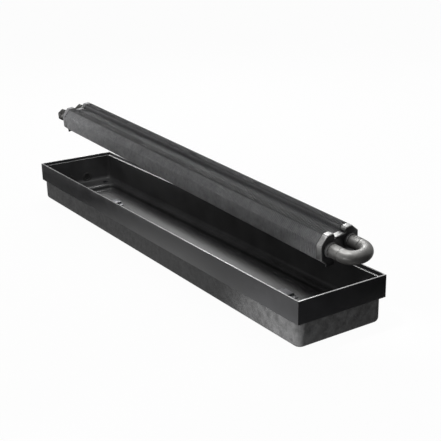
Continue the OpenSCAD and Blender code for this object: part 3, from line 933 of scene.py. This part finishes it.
def end_plate_mesh(settings):
    """A right end plate with its outer face at x 0, its tabs folded towards the fins."""
    fold = settings.bend_radius
    sides = tube_sides(settings)
    bore = settings.tube_radius + BUSH_WALL
    holes = [circle_points(y, settings.axis_height, bore, count=40) for y in sides]
    outline = lobe_outline(settings, fold)
    work = sheet_with_holes(outline, holes, settings.plate_thickness)
    for vert in work.verts:
        vert.co.x -= settings.plate_thickness
    full = lobe_outline(settings)
    count = len(full)
    tab_faces = set()
    for i, start in enumerate(full):
        end = full[(i + 1) % count]
        along = (end - start).normalized()
        inward = Vector((0, along.z, -along.y))
        if inward.dot(outline[i] - start) < 0:
            inward = -inward
        trims = []
        for corner, other in ((start, full[i - 1]), (end, full[(i + 2) % count])):
            convex = (other - corner).normalized().dot(inward) > 0
            trims.append(settings.tab_gap / 2 if convex else fold)
        tab_faces.update(folded_tab(work, start, end, inward, settings, trims))
    for y in sides:
        plate_foot(work, y, settings)
    bmesh.ops.recalc_face_normals(work, faces=work.faces)
    for face in work.faces:
        face.material_index = 1 if face in tab_faces else 0
    return mesh_from(work, "end_plate")


class CONVECTOR_OT_end_plates(bpy.types.Operator):
    """Builds the two folded end plates"""

    bl_idname = "convector.end_plates"
    bl_label = "End plates"

    def execute(self, context):
        settings = context.scene.convector_exchanger
        face = coat_material(
            "plate_black", settings.plate_colour, rough=0.45, peel=0.01 * MM, level=0.35)
        tabs = metal_material(
            "plate_zinc", settings.tab_colour, rough=0.55, grain_scale=240, stain=0.3)
        # The left plate's tabs get this dark coat in place of the right plate's zinc.
        lacquer = coat_material(
            "plate_tabs_left_dark", shade(settings.fin_colour, 0.4), rough=0.7, peel=0.01 * MM, level=0.3)
        for name, x, flip, rim in (("right_end_plate", settings.right_plate, False, tabs),
                                   ("left_end_plate", settings.left_plate, True, lacquer)):
            mesh = end_plate_mesh(settings)
            if flip:
                mesh.transform(Matrix.Scale(-1, 4, Vector((1, 0, 0))))
                mesh.flip_normals()
            mesh.transform(lifting() @ Matrix.Translation((x, 0, 0)))
            place_piece(bevelled(mesh, width=0.15 * MM, limit=50), f"{name}_folded", "exchanger",
                        [face, rim], [name])
        return {"FINISHED"}


class CONVECTOR_OT_pipes(bpy.types.Operator):
    """Finishes the tubes, the return bend, the connectors and the air vent"""

    bl_idname = "convector.pipes"
    bl_label = "Pipes"

    def execute(self, context):
        settings = context.scene.convector_exchanger
        drawn = metal_material(
            "pipe_metal", settings.pipe_colour, rough=0.5, grain_scale=260, stretch=(0.25, 1, 1),
            turn=lifting().to_euler(), stain=0.7, bare=0.55)
        dull = metal_material("connector_dull", shade(settings.pipe_colour, 0.75), rough=0.6,
                              grain_scale=260, stain=0.6)
        brass = metal_material("vent_brass", (0.6, 0.46, 0.22), rough=0.35, grain_scale=500)
        zinc = material_named("zinc_steel", zinc_material)
        pipes = ("near_tube", "far_tube", "return_bend")
        connectors = ("near_connector", "far_connector")
        finish_nodes(pipes, "exchanger", drawn, edge=0.25 * MM)
        finish_nodes(connectors, "exchanger", dull, edge=0.25 * MM)
        finish_nodes(["vent_body"], "exchanger", brass, edge=0.3 * MM)
        finish_nodes(["vent_screw"], "vent", zinc, edge=0.2 * MM)
        return {"FINISHED"}


class CONVECTOR_OT_feet(bpy.types.Operator):
    """Finishes the rubber feet, their brackets and the tube bushes"""

    bl_idname = "convector.feet"
    bl_label = "Feet"

    def execute(self, context):
        rubber = material_named("rubber_black", rubber_material)
        zinc = material_named("zinc_steel", zinc_material)
        rubber_pieces = ("right_foot", "tube_bushes")
        brackets = ("left_foot_bracket", "right_foot_bracket")
        finish_nodes(["left_foot"], "rocking_foot", rubber, edge=0.3 * MM)
        finish_nodes(rubber_pieces, "exchanger", rubber, edge=0.3 * MM)
        finish_nodes(brackets, "exchanger", zinc, edge=0.2 * MM)
        return {"FINISHED"}


def hang(name, data, place, aim, power):
    """Hangs a lamp at a place and turns it towards a point."""
    data.energy = power
    lamp = linked(name, data)
    lamp.location = place
    lamp.rotation_euler = (Vector(aim) - Vector(place)).to_track_quat("-Z", "Y").to_euler()
    lamp.visible_camera = False


def area_lamp(name, place, aim, size, power):
    """A soft rectangular lamp."""
    data = bpy.data.lights.new(name, "AREA")
    data.shape = "RECTANGLE"
    data.size, data.size_y = size
    hang(name, data, place, aim, power)


def narrow_lamp(name, place, aim, cone, power):
    """A spot lamp with a soft edge, its cone in degrees."""
    data = bpy.data.lights.new(name, "SPOT")
    data.spot_size = math.radians(cone)
    data.spot_blend = 1
    data.shadow_soft_size = 0.05
    hang(name, data, place, aim, power)


def seen_directly(tree):
    """1 for what the camera, metal or glass sees, 0 for the light that falls on the object."""
    path = fed(tree, "ShaderNodeLightPath")
    rays = [path.outputs[f"Is {ray} Ray"] for ray in ("Camera", "Glossy", "Transmission")]
    return combined(tree, "MAXIMUM", rays)


def mixed(tree, share, first, second, end):
    """Mixes two shaders by a share and links them to an output."""
    mix = fed(tree, "ShaderNodeMixShader", {"Fac": share, 1: first, 2: second})
    tree.links.new(mix.outputs["Shader"], end)


def light_room(strength):
    """An even room that looks pale where the camera and reflections meet it."""
    world = bpy.data.worlds.new("white_room")
    tree, end = cleared(world, "ShaderNodeOutputWorld")
    lit, pale = [fed(tree, "ShaderNodeBackground", {"Strength": level}) for level in (strength, 1)]
    mixed(tree, seen_directly(tree), lit.outputs["Background"], pale.outputs["Background"], end)
    bpy.context.scene.world = world


def floor_material():
    """White floor that keeps a faint shadow of the object."""
    material = bpy.data.materials.new("white_floor")
    tree, end = cleared(material, "ShaderNodeOutputMaterial")
    diffuse = fed(tree, "ShaderNodeBsdfDiffuse", {"Color": (0.3, 0.3, 0.3, 1)})
    glow = fed(tree, "ShaderNodeEmission", {"Strength": 1})
    share = spread(material, seen_directly(tree), 0, 1, 0, 0.97)
    mixed(tree, share, diffuse.outputs["BSDF"], glow.outputs["Emission"], end)
    return material


def card_material(fade_from, fade_to):
    """Dark card, clear past one end of a stretch along X and full past the other."""
    material = bpy.data.materials.new("dark_card")
    tree, end = cleared(material, "ShaderNodeOutputMaterial")
    dark = fed(tree, "ShaderNodeBsdfDiffuse", {"Color": (0.01, 0.01, 0.01, 1)})
    clear = fed(tree, "ShaderNodeBsdfTransparent")
    place = fed(tree, "ShaderNodeTexCoord")
    parts = fed(tree, "ShaderNodeSeparateXYZ", {"Vector": place.outputs["Object"]})
    share = spread(material, parts.outputs["X"], fade_from, fade_to)
    mixed(tree, share, clear.outputs["BSDF"], dark.outputs["BSDF"], end)
    return material


def staged_sheet(name, corner, across, up, material):
    """A flat sheet of the stage, from one corner and its two sides."""
    corner, across, up = Vector(corner), Vector(across), Vector(up)
    mesh = bpy.data.meshes.new(name)
    mesh.from_pydata(
        [corner, corner + across, corner + across + up, corner + up], [], [(0, 1, 2, 3)])
    mesh.materials.append(material)
    sheet = linked(name, mesh)
    return sheet


def dark_card(name, corner, across, up, fade):
    """A studio card that shows in reflections only."""
    card = staged_sheet(name, corner, across, up, card_material(*fade))
    card.visible_camera = False
    card.visible_diffuse = False
    card.visible_shadow = False
    card.visible_transmission = False


def aim_camera(settings):
    """Stands the camera where the photograph was taken from."""
    azimuth = settings.camera_azimuth
    elevation = settings.camera_elevation
    roll = settings.camera_roll
    back = Vector((math.sin(azimuth) * math.cos(elevation), -math.cos(azimuth) * math.cos(elevation),
                   math.sin(elevation)))
    right = Vector((math.cos(azimuth), math.sin(azimuth), 0))
    up = back.cross(right)
    x_axis = right * math.cos(roll) + up * math.sin(roll)
    y_axis = up * math.cos(roll) - right * math.sin(roll)
    data = bpy.data.cameras.new("camera")
    data.sensor_fit = "HORIZONTAL"
    data.lens = settings.focal_pixels / settings.picture_pixels * data.sensor_width
    camera = linked("camera", data)
    turned = Matrix((x_axis, y_axis, back)).transposed().to_4x4()
    camera.matrix_world = Matrix.Translation(Vector(settings.camera_place)) @ turned
    bpy.context.scene.camera = camera


def lay_floor():
    """A wide white floor just under the trough."""
    side = 2 * FLOOR_REACH
    corner = (-FLOOR_REACH, -FLOOR_REACH, -FLOOR_GAP)
    staged_sheet("floor", corner, (side, 0, 0), (0, side, 0), floor_material())


def hang_cards():
    """Dark cards on the floor and round the heater, which the glossy pieces reflect."""
    dark_card("right_floor_card", (0.505, -0.7, 0.001), (0.895, 0, 0), (0, 1.9, 0), (0.4, 0.5))
    dark_card("right_wall_card", (1.4, -0.7, 0), (0, 1.9, 0), (0, 0, 1.2), (0.4, 0.5))
    dark_card("front_card", (-1.8, -1.2, 0.001), (2.2, 0, 0), (0, 1.105, 0), (0.08, -0.4))
    dark_card("camera_card", (-0.2, -1.6, 0), (1.8, 1.1, 0), (0, 0, 1.3), (-0.2, 0.3))
    dark_card("sky_card", (-1.7, -1.6, 0.25), (0, 2.2, 0), (0, 0, 1.95), (-1.9, -1.8))


def hang_lamps():
    """Soft lamps over and before the heater, and narrow ones on single parts of it."""
    area_lamp("back_light", (-1.5, 0.95, 1.65), (-0.1, 0, 0.05), size=(0.8, 0.8), power=68)
    area_lamp("top_light", (-0.1, 0.12, 1.8), (0, 0.07, 0), size=(1.2, 0.1), power=22)
    area_lamp("left_light", (-1.3, -1.2, 0.14), (-0.4, 0, 0.2), size=(0.8, 0.1), power=9)
    area_lamp("front_light", (-0.2, -2.3, 1.0), (0, 0, 0.1), size=(2, 0.15), power=10)
    narrow_lamp("side_light", (-1.2, -1.0, 0.4), (-0.42, 0, 0.27), cone=20, power=31)
    narrow_lamp("low_light", (0.6, -1.0, 0.03), (0.45, -0.09, -0.03), cone=20, power=115)
    narrow_lamp("bend_light", (0.25, -0.2, 0.95), (0.46, 0, 0.24), cone=13, power=76)
    narrow_lamp("wall_light", (0.25, -0.55, 0.7), (-0.49, 0, 0.06), cone=14, power=12)


class CONVECTOR_OT_stage(bpy.types.Operator):
    """Sets the camera, the floor, the room, the dark cards and the lamps"""

    bl_idname = "convector.stage"
    bl_label = "Stage"

    def execute(self, context):
        settings = context.scene.convector_stage
        aim_camera(settings)
        lay_floor()
        light_room(settings.world_strength)
        hang_cards()
        hang_lamps()
        context.scene.view_settings.view_transform = "Standard"
        return {"FINISHED"}


class CONVECTOR_PT_panel(bpy.types.Panel):
    """Lists the steps that build the heater"""

    bl_label = "Trench convector heater"
    bl_idname = "CONVECTOR_PT_panel"
    bl_space_type = "VIEW_3D"
    bl_region_type = "UI"
    bl_category = "Convector"

    def draw(self, context):
        for step in STEPS:
            self.layout.operator(step.bl_idname)
        for group in (context.scene.convector_trough, context.scene.convector_exchanger,
                      context.scene.convector_stage):
            box = self.layout.box()
            for name in group.__annotations__:
                box.prop(group, name)


STEPS = (
    CONVECTOR_OT_stage,
    CONVECTOR_OT_frame_rails,
    CONVECTOR_OT_insulating_tub,
    CONVECTOR_OT_trough_liner,
    CONVECTOR_OT_trough_fittings,
    CONVECTOR_OT_fins,
    CONVECTOR_OT_end_plates,
    CONVECTOR_OT_pipes,
    CONVECTOR_OT_feet,
)
CLASSES = (TroughSettings, ExchangerSettings, StageSettings, *STEPS, CONVECTOR_PT_panel)


def register():
    """Registers the classes and hangs the settings on the scene."""
    for cls in CLASSES:
        bpy.utils.register_class(cls)
    bpy.types.Scene.convector_trough = bpy.props.PointerProperty(type=TroughSettings)
    bpy.types.Scene.convector_exchanger = bpy.props.PointerProperty(type=ExchangerSettings)
    bpy.types.Scene.convector_stage = bpy.props.PointerProperty(type=StageSettings)


def unregister():
    """Removes the settings and the classes."""
    del bpy.types.Scene.convector_stage
    del bpy.types.Scene.convector_exchanger
    del bpy.types.Scene.convector_trough
    for cls in reversed(CLASSES):
        bpy.utils.unregister_class(cls)


def main():
    """Builds every piece, one step after the other."""
    register()
    for step in STEPS:
        family, name = step.bl_idname.split(".")
        getattr(getattr(bpy.ops, family), name)()


if __name__ == "__main__":
    main()
